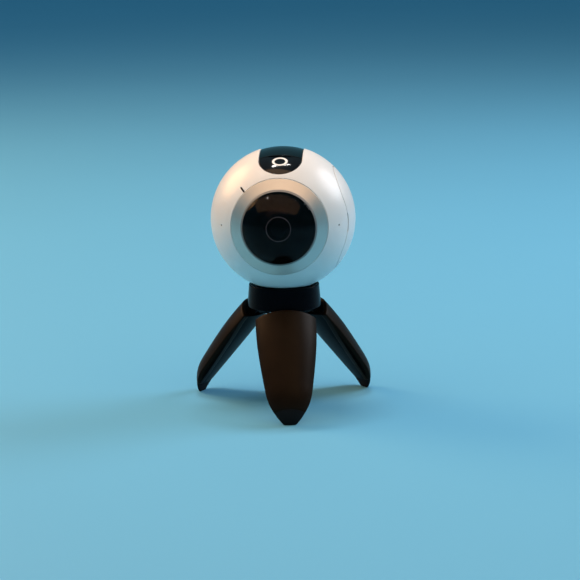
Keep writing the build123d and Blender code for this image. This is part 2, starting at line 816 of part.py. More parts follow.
with BuildPart() as seat:
    with BuildSketch(Plane.XY.offset(head_top)):
        Circle(seat_radius)
        Circle(thread_radius, mode=Mode.SUBTRACT)
    extrude(amount=seat_thickness)
save(seat, "seat_pad")


def leg_plane(angle):
    """Square to an open leg: x points to its outer face, z runs down along the leg."""
    out = Vector(cos(radians(angle)), sin(radians(angle)), 0)
    up = Vector(0, 0, 1)
    tilt = radians(leg_tilt)
    outward = out * cos(tilt) + up * sin(tilt)
    along = out * sin(tilt) - up * cos(tilt)
    hinge = out * hinge_reach + up * hinge_height
    return Plane(origin=hinge - outward * hinge_reach, x_dir=outward, z_dir=along)


def leg_form(frame, inset):
    """A third of a tapering pod, turned about the leg's own axis."""
    cross = Plane(origin=frame.origin, x_dir=frame.x_dir, z_dir=frame.x_dir.cross(frame.z_dir))
    axis = Axis(frame.origin, frame.z_dir)
    length = leg_end - leg_top
    points = [((pod_radius - inset) * wide, leg_top + (length - inset) * far)
              for far, wide in zip(length_shares, radius_shares)]
    with BuildPart() as form:
        for way in (-1, 1):
            with BuildSketch(cross) as half:
                with BuildLine():
                    Spline(*points)
                    Polyline(points[-1], (0, points[-1][1]), (0, leg_top), points[0])
                make_face()
            revolve(half.sketch, axis=axis, revolution_arc=way * sweep_angle / 2)
        for way in (-1, 1):
            edge = radians(180 / leg_count)
            normal = frame.y_dir * (way * cos(edge)) - frame.x_dir * sin(edge)
            side = Plane(origin=frame.origin - normal * (leg_gap / 2), z_dir=normal)
            split(bisect_by=side, keep=Keep.BOTTOM)
    return form.part


def bowed_column(frame):
    """The round column that the leg's inner face follows, leaning in towards the foot."""
    lean = radians(leg_bow_lean)
    top = frame.offset(leg_top).origin
    along = frame.z_dir * cos(lean) - frame.x_dir * sin(lean)
    outward = frame.x_dir * cos(lean) + frame.z_dir * sin(lean)
    with BuildPart() as column:
        with BuildSketch(Plane(origin=top, x_dir=outward, z_dir=along).offset(-overrun)):
            with Locations((leg_ridge + leg_bow_radius, 0)):
                Circle(leg_bow_radius)
        extrude(amount=leg_end - leg_top + 2 * overrun)
    return column.part


for number, angle in enumerate(foot_angles, 1):
    frame = leg_plane(angle)
    pad_cut = frame.offset(pad_start)
    whole_leg = leg_form(frame, 0)
    leg_filling = leg_form(frame, cover_wall)
    column = bowed_column(frame)

    # Outer cover: a curved skin from the top edge to the foot
    with BuildPart() as cover:
        add(whole_leg)
        add(leg_filling, mode=Mode.SUBTRACT)
        add(column, mode=Mode.INTERSECT)
        split(bisect_by=pad_cut, keep=Keep.BOTTOM)
    save(cover, f"leg_cover_{number}")

    # Core: the inner half of the leg, with a neck and two ears for the hinge
    with BuildPart() as core:
        add(leg_filling)
        add(column, mode=Mode.INTERSECT)
        split(bisect_by=pad_cut, keep=Keep.BOTTOM)
        cross = Plane(origin=frame.origin, x_dir=frame.x_dir, z_dir=frame.x_dir.cross(frame.z_dir))
        with BuildSketch(cross.offset(-ear_half)):
            with Locations((hinge_reach, 0)):
                Circle(hinge_barrel)
            with Locations(((neck_in + neck_out) / 2, 0)):
                Rectangle(neck_out - neck_in, leg_top + neck_overlap, align=(Align.CENTER, Align.MIN))
        extrude(amount=2 * ear_half)
        slot_end = hinge_barrel + motion_gap
        with BuildSketch(cross.offset(-lug_half - fit_gap)):
            with Locations((hinge_reach, 0)):
                Circle(slot_end)
                Rectangle(2 * slot_end, 2 * slot_end, align=(Align.CENTER, Align.MAX))
        extrude(amount=2 * (lug_half + fit_gap), mode=Mode.SUBTRACT)
        with BuildSketch(cross.offset(-ear_half)):
            with Locations((hinge_reach, 0)):
                Circle(hinge_pin_radius + running_gap)
        extrude(amount=2 * ear_half, mode=Mode.SUBTRACT)
    save(core, f"leg_core_{number}")

    # Rubber foot at the tip, with a flat where it meets the floor
    with BuildPart() as pad:
        add(whole_leg)
        split(bisect_by=pad_cut, keep=Keep.TOP)
        inner_side = Plane(origin=frame.origin + frame.x_dir * pad_inner, z_dir=frame.x_dir)
        split(bisect_by=inner_side, keep=Keep.TOP)
        split(bisect_by=Plane.XY, keep=Keep.TOP)
    save(pad, f"foot_pad_{number}")

    with BuildPart() as pin:
        with BuildSketch(radial_plane(angle).offset(-ear_half)):
            with Locations((hinge_reach, hinge_height)):
                Circle(hinge_pin_radius)
        extrude(amount=2 * ear_half)
    save(pin, f"hinge_pin_{number}")
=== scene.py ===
import json
from math import acos, asin, atan2, cos, pi, radians, sin, sqrt

import bmesh
import bpy
from mathutils import Matrix, Vector


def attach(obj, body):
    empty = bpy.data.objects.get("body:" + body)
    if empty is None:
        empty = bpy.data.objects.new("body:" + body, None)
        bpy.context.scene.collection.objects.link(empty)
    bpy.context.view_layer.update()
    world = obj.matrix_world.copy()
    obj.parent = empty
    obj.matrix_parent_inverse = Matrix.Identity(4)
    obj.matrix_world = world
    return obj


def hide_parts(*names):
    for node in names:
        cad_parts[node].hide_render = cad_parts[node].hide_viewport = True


# Looks of a ball camera on a mini tripod. Sizes are millimetres from the middle of the ball, with
# y to the rear and z up, unless a comment says otherwise. MM turns them into metres.
MM = 0.001

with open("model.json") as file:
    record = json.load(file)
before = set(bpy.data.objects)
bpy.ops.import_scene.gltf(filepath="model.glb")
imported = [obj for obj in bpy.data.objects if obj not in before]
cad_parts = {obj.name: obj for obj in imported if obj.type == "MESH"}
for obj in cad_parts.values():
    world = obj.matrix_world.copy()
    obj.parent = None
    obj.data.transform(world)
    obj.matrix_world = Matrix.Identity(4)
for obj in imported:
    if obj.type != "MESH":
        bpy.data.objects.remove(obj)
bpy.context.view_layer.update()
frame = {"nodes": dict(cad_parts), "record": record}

BALL = 30.05                    # radius of the ball
CENTRE = Vector((0, 0, 78.0))   # its middle, from the floor
LIP = 0.13                      # radius of a rolled edge
FIT = 0.15                      # gap round a fitted piece
ROOM = FIT + LIP


# Camera, fitted to the photo
FOCAL_PIXELS, PICTURE_PIXELS, SENSOR = 2011.0, 580, 36.0

camera_data = bpy.data.cameras.new("view")
camera_data.sensor_width = SENSOR
camera_data.lens = FOCAL_PIXELS / PICTURE_PIXELS * SENSOR
camera_data.clip_start = 0.01
camera_data.clip_end = 50
camera = bpy.data.objects.new("view", camera_data)
bpy.context.scene.collection.objects.link(camera)
right = Vector((0.997866891, 0.0640078204, -0.0128322880))
down = Vector((0.0000410377626, -0.197183661, -0.980366565))
ahead = Vector((-0.0652814446, 0.978274809, -0.196765673))
turn = Matrix((right, -down, -ahead)).transposed().to_4x4()
camera_place = Vector((57.3819, -822.9311, 134.9505 + CENTRE.z))
camera.matrix_world = Matrix.Translation(camera_place * MM) @ turn
bpy.context.scene.camera = camera


# Materials

def set_inputs(shader, values):
    for name, value in values.items():
        shader.inputs[name].default_value = value


def material(name, colour, roughness, metallic=0.0, coat=0.0, coat_roughness=0.1, specular=0.5,
             mottle=0.0, mottle_scale=60.0, grain=0.0, grain_scale=3000.0, ior=1.45, rough_change=0.0):
    """A finish with a little mottling of its colour and a fine grain in its surface."""
    made = bpy.data.materials.new(name)
    made.use_nodes = True
    nodes, links = made.node_tree.nodes, made.node_tree.links
    shader = nodes["Principled BSDF"]
    set_inputs(shader, {"Metallic": metallic, "Roughness": roughness, "IOR": ior, "Coat Weight": coat,
                        "Coat Roughness": coat_roughness, "Specular IOR Level": specular})
    place = nodes.new("ShaderNodeTexCoord")
    noise = nodes.new("ShaderNodeTexNoise")
    set_inputs(noise, {"Scale": mottle_scale, "Detail": 4.0})
    links.new(place.outputs["Object"], noise.inputs["Vector"])
    ramp = nodes.new("ShaderNodeValToRGB")
    for stop, at, change in zip(ramp.color_ramp.elements, (0.32, 0.68), (-mottle, mottle)):
        stop.position = at
        stop.color = (*[min(1.0, c * (1 + change)) for c in colour], 1)
    links.new(noise.outputs["Fac"], ramp.inputs["Fac"])
    links.new(ramp.outputs["Color"], shader.inputs["Base Color"])
    if rough_change:
        spread = nodes.new("ShaderNodeMapRange")
        set_inputs(spread, {"To Min": roughness - rough_change, "To Max": roughness + rough_change})
        links.new(noise.outputs["Fac"], spread.inputs["Value"])
        links.new(spread.outputs["Result"], shader.inputs["Roughness"])
    if grain:
        fine = nodes.new("ShaderNodeTexNoise")
        set_inputs(fine, {"Scale": grain_scale, "Detail": 2.0})
        links.new(place.outputs["Object"], fine.inputs["Vector"])
        bump = nodes.new("ShaderNodeBump")
        set_inputs(bump, {"Strength": grain, "Distance": 0.00004})
        links.new(fine.outputs["Fac"], bump.inputs["Height"])
        links.new(bump.outputs["Normal"], shader.inputs["Normal"])
    return made


white_shell = material("white_shell", (0.80, 0.785, 0.77), 0.33, coat=0.2, coat_roughness=0.26,
                       mottle=0.012, mottle_scale=90, grain=0.12, grain_scale=5200)
satin_ring = material("satin_ring", (0.62, 0.59, 0.55), 0.4, metallic=0.9, mottle=0.03,
                      mottle_scale=150, grain=0.22, grain_scale=7000)
bright_trim = material("bright_trim", (0.24, 0.23, 0.22), 0.5, metallic=0.5, mottle=0.03)
black_plastic = material("black_plastic", (0.012, 0.012, 0.013), 0.38, mottle=0.15, grain=0.3,
                         grain_scale=4500, rough_change=0.06)
panel_gloss = material("panel_gloss", (0.004, 0.008, 0.010), 0.12, specular=0.35, mottle=0.1)
button_gloss = material("button_gloss", (0.006, 0.004, 0.004), 0.08, specular=0.4, mottle=0.1)
white_mark = material("white_mark", (0.85, 0.85, 0.84), 0.35, mottle=0.01)
steel = material("steel", (0.55, 0.55, 0.56), 0.28, metallic=1.0, mottle=0.05, grain=0.15)
circuit = material("circuit", (0.012, 0.07, 0.035), 0.4, mottle=0.25, mottle_scale=700, coat=0.3)
battery_wrap = material("battery_wrap", (0.03, 0.032, 0.036), 0.42, mottle=0.12, coat=0.2)
card_plastic = material("card_plastic", (0.015, 0.015, 0.017), 0.35, mottle=0.1, grain=0.2)
brass = material("brass", (0.66, 0.47, 0.2), 0.27, metallic=1.0, mottle=0.06)
collar_gloss = material("collar_gloss", (0.002, 0.002, 0.0035), 0.2, ior=1.11, mottle=0.1,
                        rough_change=0.03)
leg_plastic = material("leg_plastic", (0.003, 0.0035, 0.004), 0.42, ior=1.09, mottle=0.15,
                       grain=0.25, grain_scale=4000, rough_change=0.05)
leg_cover_finish = material("leg_cover", (0.012, 0.006, 0.0025), 0.38, ior=1.13, mottle=0.12,
                            mottle_scale=140, grain=0.15, grain_scale=5000)
rubber = material("rubber", (0.006, 0.006, 0.007), 0.7, ior=1.2, mottle=0.15, grain=0.6,
                  grain_scale=2500)
# Black for dark parts; on the nail notch's floor this black is painted shade.
black_and_painted_shade = material("black_and_painted_shade", (0.004, 0.004, 0.005), 0.5, specular=0.2, mottle=0.1)
barrel_black = material("barrel_black", (0.002, 0.002, 0.003), 0.07, specular=0.5, mottle=0.2)
lens_coating = material("lens_coating", (0.002, 0.002, 0.004), 0.04, specular=0.12, mottle=0.2)
ring_print = material("ring_print", (0.92, 0.93, 0.94), 0.35, mottle=0.05)

dome_glass = bpy.data.materials.new("dome_glass")
dome_glass.use_nodes = True
set_inputs(dome_glass.node_tree.nodes["Principled BSDF"], {
    "Base Color": (0.30, 0.25, 0.26, 1), "Roughness": 0.0, "IOR": 1.08, "Coat Weight": 0.12,
    "Coat Roughness": 0.012, "Transmission Weight": 1.0})

finishes = {
    "white_shell": white_shell, "satin_ring": satin_ring, "bright_trim": bright_trim,
    "lens_glass": dome_glass, "black_plastic": black_plastic, "panel_gloss": panel_gloss,
    "white_mark": white_mark, "steel": steel, "circuit_board": circuit,
    "battery_wrap": battery_wrap, "card_plastic": card_plastic, "brass": brass,
    "collar_gloss": collar_gloss, "leg_plastic": leg_plastic, "leg_cover": leg_cover_finish,
    "black_rubber": rubber,
}


# Mesh helpers. In each, body is what the piece rides on and nodes are the CAD nodes it replaces.

def make_object(name, mesh, finish, body, nodes):
    for polygon in mesh.polygons:
        polygon.use_smooth = True
    mesh.materials.append(finish)
    obj = bpy.data.objects.new(name, mesh)
    bpy.context.scene.collection.objects.link(obj)
    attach(obj, body)
    if nodes:
        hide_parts(*nodes)
    return obj


def rounded(corners, closed=True):
    """An outline of (out, along, radius) corners, as points with their normals. It runs so that
    the outside is on the left."""
    steps = 5
    found = []
    count = len(corners)
    for index, (out, along, radius) in enumerate(corners):
        here = Vector((out, along))
        before = Vector(corners[index - 1][:2])
        after = Vector(corners[(index + 1) % count][:2])
        if not closed and index in (0, count - 1):
            run = (after - here if index == 0 else here - before).normalized()
            found.append((here, Vector((-run.y, run.x))))
            continue
        enter, leave = (here - before).normalized(), (after - here).normalized()
        n_in = Vector((-enter.y, enter.x))
        n_out = Vector((-leave.y, leave.x))
        angle = enter.angle(leave, 0.0)
        if radius <= 0 or angle < 0.02:
            found += [(here, n_in), (here, n_out)]
            continue
        reach = radius * abs(sin(angle / 2) / cos(angle / 2))
        start = here - enter * reach
        side = 1 if enter.x * leave.y - enter.y * leave.x > 0 else -1
        hub = start + n_in * radius * side
        for step in range(steps + 1):
            share = step / steps
            n = (n_in * sin((1 - share) * angle) + n_out * sin(share * angle)) / sin(angle)
            found.append((hub - n * radius * side, n))
    return found


def revolve(name, outline, finish, body, nodes, axis="y", way=-1, segments=144, closed=True,
            origin=CENTRE):
    """Turns an outline's (out, along) points about the lens axis or the upright axis."""
    def turned(pair, a):
        if axis == "y":
            return pair.x * cos(a), way * pair.y, pair.x * sin(a)
        return pair.x * cos(a), pair.x * sin(a), pair.y

    points, normals, rows = [], [], []
    for place, normal in outline:
        turns = [2 * pi * number / segments for number in range(segments)]
        if place.x < 1e-6:
            place, normal, turns = Vector((0, place.y)), Vector((0, normal.y)), [0.0]
        rows.append([len(points) + number for number in range(len(turns))])
        points += [turned(place, a) for a in turns]
        normals += [Vector(turned(normal, a)) for a in turns]
    pairs = list(zip(rows, rows[1:]))
    if closed:
        pairs.append((rows[-1], rows[0]))
    faces = []
    for low, high in pairs:
        if len(low) == 1 and len(high) == 1:
            continue
        for number in range(segments):
            after = (number + 1) % segments
            if len(low) == 1:
                faces.append([low[0], high[number], high[after]])
            elif len(high) == 1:
                faces.append([low[number], high[0], low[after]])
            else:
                faces.append([low[number], high[number], high[after], low[after]])
    mesh = bpy.data.meshes.new(name)
    mesh.from_pydata([(Vector(p) + origin) * MM for p in points], [], faces)
    obj = make_object(name, mesh, finish, body, nodes)
    turn_faces(mesh, normals)
    return obj


def turn_faces(mesh, normals):
    """Points every face the way its corners' normals point, then sets those normals."""
    flips = []
    for polygon in mesh.polygons:
        total = Vector()
        for index in polygon.vertices:
            total += normals[index]
        if polygon.normal.dot(total) < 0:
            flips.append(polygon.index)
    if flips:
        bm = bmesh.new()
        bm.from_mesh(mesh)
        bm.faces.ensure_lookup_table()
        bmesh.ops.reverse_faces(bm, faces=[bm.faces[i] for i in flips])
        bm.to_mesh(mesh)
        bm.free()
    mesh.normals_split_custom_set_from_vertices([tuple(n.normalized()) for n in normals])


def slope(cut, at, normal):
    """How fast, and which way along the surface, a cut's value rises at a point."""
    step = 0.001
    rise = Vector([(cut(at + axis) - cut(at - axis)) / (2 * step)
                   for axis in (Vector((step, 0, 0)), Vector((0, step, 0)), Vector((0, 0, step)))])
    return rise - normal * rise.dot(normal)


def slide(at, cut, surface, normal_at):
    """Moves a point along the surface until it is on a cut's edge."""
    for _ in range(5):
        g = slope(cut, at, normal_at(at))
        if g.length_squared < 1e-9:
            break
        at = surface(at - g * (cut(at) / g.length_squared))
    return at


def trim(bm, cut, surface, normal_at, snap):
    """Cuts the mesh along the line where cut is 0 and keeps where it is above 0. Corners closer to
    that line than snap are first moved on to it."""
    value = {}
    for v in bm.verts:
        value[v] = cut(v.co)
        if abs(value[v]) < snap:
            moved = slide(v.co.copy(), cut, surface, normal_at)
            if (moved - v.co).length < 2 * snap:
                v.co = moved
                value[v] = 0
    for edge in list(bm.edges):
        a, b = edge.verts
        if value[a] * value[b] < 0:
            share = value[a] / (value[a] - value[b])
            _, new = bmesh.utils.edge_split(edge, a, share)
            new.co = slide(surface(new.co.copy()), cut, surface, normal_at)
            value[new] = 0
    for face in list(bm.faces):
        loop = list(face.verts)
        if not (any(value[v] > 0 for v in loop) and any(value[v] < 0 for v in loop)):
            continue
        start = next(i for i, v in enumerate(loop) if value[v] > 0)
        loop = loop[start:] + loop[:start]
        first = next(i for i, v in enumerate(loop) if value[v] < 0) - 1
        last = max(i for i, v in enumerate(loop) if value[v] < 0) + 1
        a, b = loop[first], loop[last % len(loop)]
        if a is not b and value[a] == 0 and value[b] == 0:
            try:
                bmesh.utils.face_split(face, a, b)
            except ValueError:
                pass  # the two corners already share an edge
    gone = [v for v in bm.verts if value[v] < 0]
    bmesh.ops.delete(bm, geom=gone, context="VERTS")
    stray = [f for f in bm.faces if cut(f.calc_center_median()) < -1e-4
             and all(abs(value[v]) < 1e-9 for v in f.verts)]
    bmesh.ops.delete(bm, geom=stray, context="FACES")
    loose = [v for v in bm.verts if not v.link_faces]
    bmesh.ops.delete(bm, geom=loose, context="VERTS")


def roll_edges(bm, cuts, normal_at, depth, normals):
    """Rolls every open edge over a small radius, takes it down as a wall and closes the inside."""
    steps = 3
    lip = LIP * 0.9
    skin = list(bm.faces)
    edges = [e for e in bm.edges if len(e.link_faces) == 1]
    loops = [e.link_loops[0] for e in edges]
    walls = [(loop.vert, loop.link_loop_next.vert) for loop in loops]
    chain = {}
    for v in sorted({v for e in edges for v in e.verts}, key=lambda v: tuple(v.co)):
        up = normal_at(v.co)
        out = Vector()
        for cut in cuts:
            if abs(cut(v.co)) < 0.004:
                out -= slope(cut, v.co, up).normalized()
        rows = [v]
        for step in range(1, steps + 1):
            a = pi / 2 * step / steps
            made = bm.verts.new(v.co + out * (lip * sin(a)) - up * (lip * (1 - cos(a))))
            normals[made] = (up * cos(a) + out * sin(a)).normalized()
            rows.append(made)
        made = bm.verts.new(v.co + out * lip - up * depth)
        normals[made] = out.normalized() if out.length else up
        rows.append(made)
        under = bm.verts.new(made.co)
        normals[under] = -up
        rows.append(under)
        chain[v] = rows
    for a, b in walls:
        for low in range(steps + 1):
            bm.faces.new((chain[b][low], chain[a][low], chain[a][low + 1], chain[b][low + 1]))
    beneath = {}
    for face in skin:
        loop = []
        for v in reversed(face.verts):
            if v in chain:
                loop.append(chain[v][-1])
                continue
            if v not in beneath:
                up = normal_at(v.co)
                beneath[v] = bm.verts.new(v.co - up * depth)
                normals[beneath[v]] = -up
            loop.append(beneath[v])
        bm.faces.new(loop)


def finish_bmesh(name, bm, normals, normal_at, finish, body, nodes):
    """Makes the object; where normals has nothing for a corner, normal_at gives it."""
    bm.verts.index_update()
    order = [normals.get(v) or normal_at(v.co) for v in bm.verts]
    mesh = bpy.data.meshes.new(name)
    for v in bm.verts:
        v.co = (v.co + CENTRE) * MM
    bm.to_mesh(mesh)
    bm.free()
    obj = make_object(name, mesh, finish, body, nodes)
    turn_faces(mesh, order)
    return obj


def ball_surface(at):
    return at.normalized() * BALL


def ball_normal(at):
    return at.normalized()


def grid(bm, rows, columns, place, wrap=True):
    """A grid of quads whose corners place(row, column) gives."""
    made = [[bm.verts.new(place(r, c)) for c in range(columns)] for r in range(rows)]
    for r in range(rows - 1):
        for c in range(columns if wrap else columns - 1):
            n = (c + 1) % columns
            bm.faces.new((made[r][c], made[r][n], made[r + 1][n], made[r + 1][c]))


# Openings in the ball. Each is a cut: a function of a point that is above 0 where the shell stays.

FAR = 50.0                            # a cut's value on the side of the ball that it doesn't reach
PANEL_HALF, PANEL_END = 8.85, 12.2    # half width and straight half length of the top panel
DOOR_HALF, DOOR_END = 12.4, 9.2       # the same of the side door
DOOR_PLAY = 0.08                      # extra gap round the door
HINGE_PLAY = 0.25                     # more of it at the hinge side, growing between two places
HINGE_PLAY_FROM, HINGE_PLAY_TO = 9.0, 11.5
RING_IN, RING_OUT = 15.45, 19.75      # radii of the lens ring
BASE_CUT = 27.45                      # how far below the middle the ball is cut for the tripod
LIGHT_ANGLE, LIGHT_AT = radians(134.7), 21.2          # the status light's slit, round the lens axis
LIGHT_END, LIGHT_HALF = 0.75, 0.5                     # its straight half length and half width
MICROPHONE_AT, MICROPHONE_RADIUS = 24.05, 0.5         # out to each side
KEY_BACK, KEY_HEIGHT, KEY_RADIUS = 7.0, 5.5, 2.25     # the two side buttons, above and below the middle
SHELL_DEPTH = 1.5                                     # how far the shell's edges go down


def slot_distance(along, across, half_length, half_width):
    """How far a point lies outside a slot, given its distances from the slot's middle."""
    past = max(0.0, abs(along) - half_length)
    return sqrt(past * past + across * across) - half_width


def outside_panel(p):
    return slot_distance(p.y, p.x, PANEL_END, PANEL_HALF + ROOM) if p.z > 0 else FAR


def outside_door(p, extra):
    return slot_distance(p.z, p.y, DOOR_END, DOOR_HALF + extra) if p.x > 0 else FAR


def hinge_side(p):
    """Extra room of the door's gap, rising to its hinge side."""
    share = (p.y - HINGE_PLAY_FROM) / (HINGE_PLAY_TO - HINGE_PLAY_FROM)
    return HINGE_PLAY * min(1.0, max(0.0, share))


def door_opening(p):
    return outside_door(p, LIP + hinge_side(p))


def outside_lens(p):
    return sqrt(p.x * p.x + p.z * p.z) - RING_OUT - ROOM


def above_base(p):
    return p.z + BASE_CUT - LIP


def light_slit(p):
    out = p.x * cos(LIGHT_ANGLE) + p.z * sin(LIGHT_ANGLE)
    across = -p.x * sin(LIGHT_ANGLE) + p.z * cos(LIGHT_ANGLE)
    if out <= 0 or p.y > 0:
        return FAR
    return slot_distance(out - LIGHT_AT, across, LIGHT_END, LIGHT_HALF)


def microphone_way(edge):
    return Vector((edge * MICROPHONE_AT, -sqrt(BALL**2 - MICROPHONE_AT**2), 0)).normalized()


def microphone(edge):
    out = microphone_way(edge)
    return lambda p: (p - out * p.dot(out)).length - MICROPHONE_RADIUS if p.dot(out) > 0 else FAR


def key_hole(height):
    return lambda p: sqrt((p.y - KEY_BACK)**2 + (p.z - height)**2) - KEY_RADIUS if p.x < 0 else FAR


def refine(bm, cut):
    """Divides the faces within reach of a small opening."""
    reach = 1.0
    edges = [e for e in bm.edges if all(cut(v.co) < reach for v in e.verts)]
    bmesh.ops.subdivide_edges(bm, edges=edges, cuts=4, use_grid_fill=True)
    for v in bm.verts:
        if cut(v.co) < reach + 0.3:
            v.co = ball_surface(v.co)


# The two half shells
opening = acos(sqrt(BALL**2 - (RING_OUT + FIT)**2) / BALL)
for name, way in (("front", -1), ("rear", 1)):
    rows, columns = 46, 300

    def on_ball(r, c):
        polar = opening + (pi / 2 - opening) * r / (rows - 1)
        a = 2 * pi * c / columns
        return Vector((sin(polar) * cos(a), way * cos(polar), sin(polar) * sin(a))) * BALL

    def own_half(p):
        return way * p.y - LIP * 0.7

    bm = bmesh.new()
    grid(bm, rows, columns, on_ball)
    large = [outside_lens, own_half, outside_panel, door_opening, above_base]
    if way < 0:
        small = [light_slit, microphone(-1), microphone(1)]
    else:
        small = [key_hole(KEY_HEIGHT), key_hole(-KEY_HEIGHT)]
    for cut in large:
        trim(bm, cut, ball_surface, ball_normal, snap=0.12)
    for cut in small:
        refine(bm, cut)
        trim(bm, cut, ball_surface, ball_normal, snap=0.03)
    normals = {v: v.co.normalized() for v in bm.verts}
    roll_edges(bm, large + small, ball_normal, SHELL_DEPTH, normals)
    finish_bmesh(f"{name}_shell_skin", bm, normals, ball_normal, white_shell, "camera",
                 [f"{name}_shell"])

# Dark wells under the two microphone holes
well_outline = rounded([(0, BALL - 0.5, 0), (0.34, BALL - 0.5, 0), (0.4, BALL - 0.14, 0.04),
                        (0.49, BALL - 0.14, 0.04), (0.6, BALL - 1.4, 0), (0, BALL - 1.4, 0)],
                       closed=False)
for number, edge in enumerate((-1, 1), 1):
    well = revolve(f"microphone_well_{number}", well_outline, black_and_painted_shade, "camera",
                   [], axis="z", segments=40, origin=Vector())
    spin = Vector((0, 0, 1)).rotation_difference(microphone_way(edge)).to_matrix().to_4x4()
    well.data.transform(Matrix.Translation(CENTRE * MM) @ spin)

# Side door
DOOR_REACH = radians(47.2)    # angle of the patch of ball that the door is cut from
POLE_GAP = 0.003              # angle of the hole at the patch's middle, which one face fills
NOTCH_END, NOTCH_HALF = 3.3, 0.8    # straight half length and half width of the nail notch
NOTCH_DEPTH = 1.45
NOTCH_FLOOR_WIDE, NOTCH_FLOOR_LONG = 1.15, 8.6
NOTCH_ROWS, NOTCH_COLUMNS = 10, 44


def on_side(r, c):
    polar = DOOR_REACH * r / (rows - 1) + POLE_GAP
    a = 2 * pi * c / columns
    return Vector((cos(polar), sin(polar) * cos(a), sin(polar) * sin(a))) * BALL


def door_edge(p):
    return -outside_door(p, -FIT - LIP - DOOR_PLAY - hinge_side(p))


def hinge_room(p):
    """Room in the door's edge for the knuckles of the hinge."""
    return slot_distance(p.z, p.y - DOOR_HALF, 2.4, 2.6)


def nail_notch(p):
    return slot_distance(p.z, p.y + DOOR_HALF, NOTCH_END, NOTCH_HALF + LIP)


rows, columns = 64, 220
bm = bmesh.new()
grid(bm, rows, columns, on_side)
pole = [v for v in bm.verts if v.co.x > BALL - 0.01]
bmesh.ops.contextual_create(bm, geom=pole)
door_cuts = [door_edge, hinge_room, nail_notch]
for cut, snap in zip(door_cuts, (0.12, 0.12, 0.06)):
    trim(bm, cut, ball_surface, ball_normal, snap)
normals = {v: v.co.normalized() for v in bm.verts}
roll_edges(bm, door_cuts, ball_normal, SHELL_DEPTH, normals)
finish_bmesh("side_door_skin", bm, normals, ball_normal, white_shell, "side_door", [])


def notch_floor(r, c):
    y = -DOOR_HALF + FIT + NOTCH_FLOOR_WIDE * r / (NOTCH_ROWS - 1)
    z = -NOTCH_FLOOR_LONG / 2 + NOTCH_FLOOR_LONG * c / (NOTCH_COLUMNS - 1)
    return Vector((sqrt((BALL - NOTCH_DEPTH)**2 - y * y - z * z), y, z))


# Floor of the nail notch, let into the door's front edge. Its black finish is painted shade: it stands
# for the shadow in the notch's gap.
bm = bmesh.new()
grid(bm, NOTCH_ROWS, NOTCH_COLUMNS, notch_floor, wrap=False)
finish_bmesh("door_notch_floor", bm, {}, ball_normal, black_and_painted_shade, "side_door", [])


def prism(name, outline, low, high, edge, finish, body, nodes, origin=CENTRE):
    """An upright piece with a given plan and slightly rounded ends."""
    count = len(outline)
    middle = Vector((sum(p[0] for p in outline) / count, sum(p[1] for p in outline) / count))
    rows = [(low, edge), (low + edge * 0.3, edge * 0.3), (low + edge, 0), (high - edge, 0),
            (high - edge * 0.3, edge * 0.3), (high, edge)]
    bm = bmesh.new()
    rings = []
    for z, inset in rows:
        ring = []
        for x, y in outline:
            away = Vector((x, y)) - middle
            drawn = (x - away.x / away.length * inset, y - away.y / away.length * inset, z)
            ring.append(bm.verts.new(drawn))
        rings.append(ring)
    for a, b in zip(rings, rings[1:]):
        for n in range(count):
            bm.faces.new((a[n], a[(n + 1) % count], b[(n + 1) % count], b[n]))
    bm.faces.new(list(reversed(rings[0])))
    bm.faces.new(rings[-1])
    for v in bm.verts:
        v.co = (v.co + origin) * MM
    bmesh.ops.recalc_face_normals(bm, faces=bm.faces)
    mesh = bpy.data.meshes.new(name)
    bm.to_mesh(mesh)
    bm.free()
    obj = make_object(name, mesh, finish, body, nodes)
    obj.data.set_sharp_from_angle(angle=radians(32))
    return obj


PIVOT_X, PIVOT_Y = 26.758, 11.05    # middle of the hinge pin
KNUCKLE_RADIUS = 0.85


def knuckle_plan(web, lean):
    """A round knuckle on its web, seen from above. The web reaches web backwards or forwards of
    the pivot, and its end leans sideways."""
    way = 1 if web > 0 else -1
    start = (pi if web > 0 else 0.0) - 0.75
    arc = [start + (pi + 1.5) * n / 20 for n in range(21)]
    plan = [(PIVOT_X + KNUCKLE_RADIUS * cos(a), PIVOT_Y + KNUCKLE_RADIUS * sin(a)) for a in arc]
    return plan + [(PIVOT_X + half - lean, PIVOT_Y + web) for half in (0.62 * way, -0.62 * way)]


for number, (low, high) in enumerate(((-3.6, -1.65), (1.65, 3.6)), 1):
    prism(f"hinge_knuckle_{number}", knuckle_plan(2.1, 0.28), low, high, 0.12, white_shell,
          "camera", [])
prism("door_knuckle", knuckle_plan(-2.4, 0), -1.5, 1.5, 0.12, white_shell, "side_door",
      ["side_door"])

# Top panel and record button
TILT = radians(23.2)        # of the button's facet
CREASE = 11.0               # where the panel ends, in front of the middle
CREASE_GAP = 0.3            # from there to the button, whose facet starts half way
FACET = 29.2                # how far the facet's plane is from the middle
DISH = 300.0                # radius of the facet's hollow
PANEL_BALL = BALL - 0.25    # radius of the panel's outside
MARK_PLACE = 14.6           # middle of the white ring, in front of the middle
BLEND = 0.12                # height over which the facet and the ball run into each other


def panel_height(x, y):
    """How high the dark panel is; in front of the crease it follows the button's facet."""
    ball = sqrt(max(1.0, PANEL_BALL**2 - x * x - y * y))
    if y > -CREASE - CREASE_GAP / 2:
        return ball
    hollow = (x * x + ((y + MARK_PLACE) / cos(TILT))**2) / (2 * DISH)
    facet = (FACET + y * sin(TILT)) / cos(TILT) + hollow
    blend = max(0.0, BLEND - abs(facet - ball)) / BLEND
    return min(facet, ball) - blend * blend * BLEND / 4


def panel_surface(p):
    return Vector((p.x, p.y, panel_height(p.x, p.y)))


def panel_normal(p):
    step = 0.04
    dx = (panel_height(p.x + step, p.y) - panel_height(p.x - step, p.y)) / (2 * step)
    dy = (panel_height(p.x, p.y + step) - panel_height(p.x, p.y - step)) / (2 * step)
    return Vector((-dx, -dy, 1)).normalized()


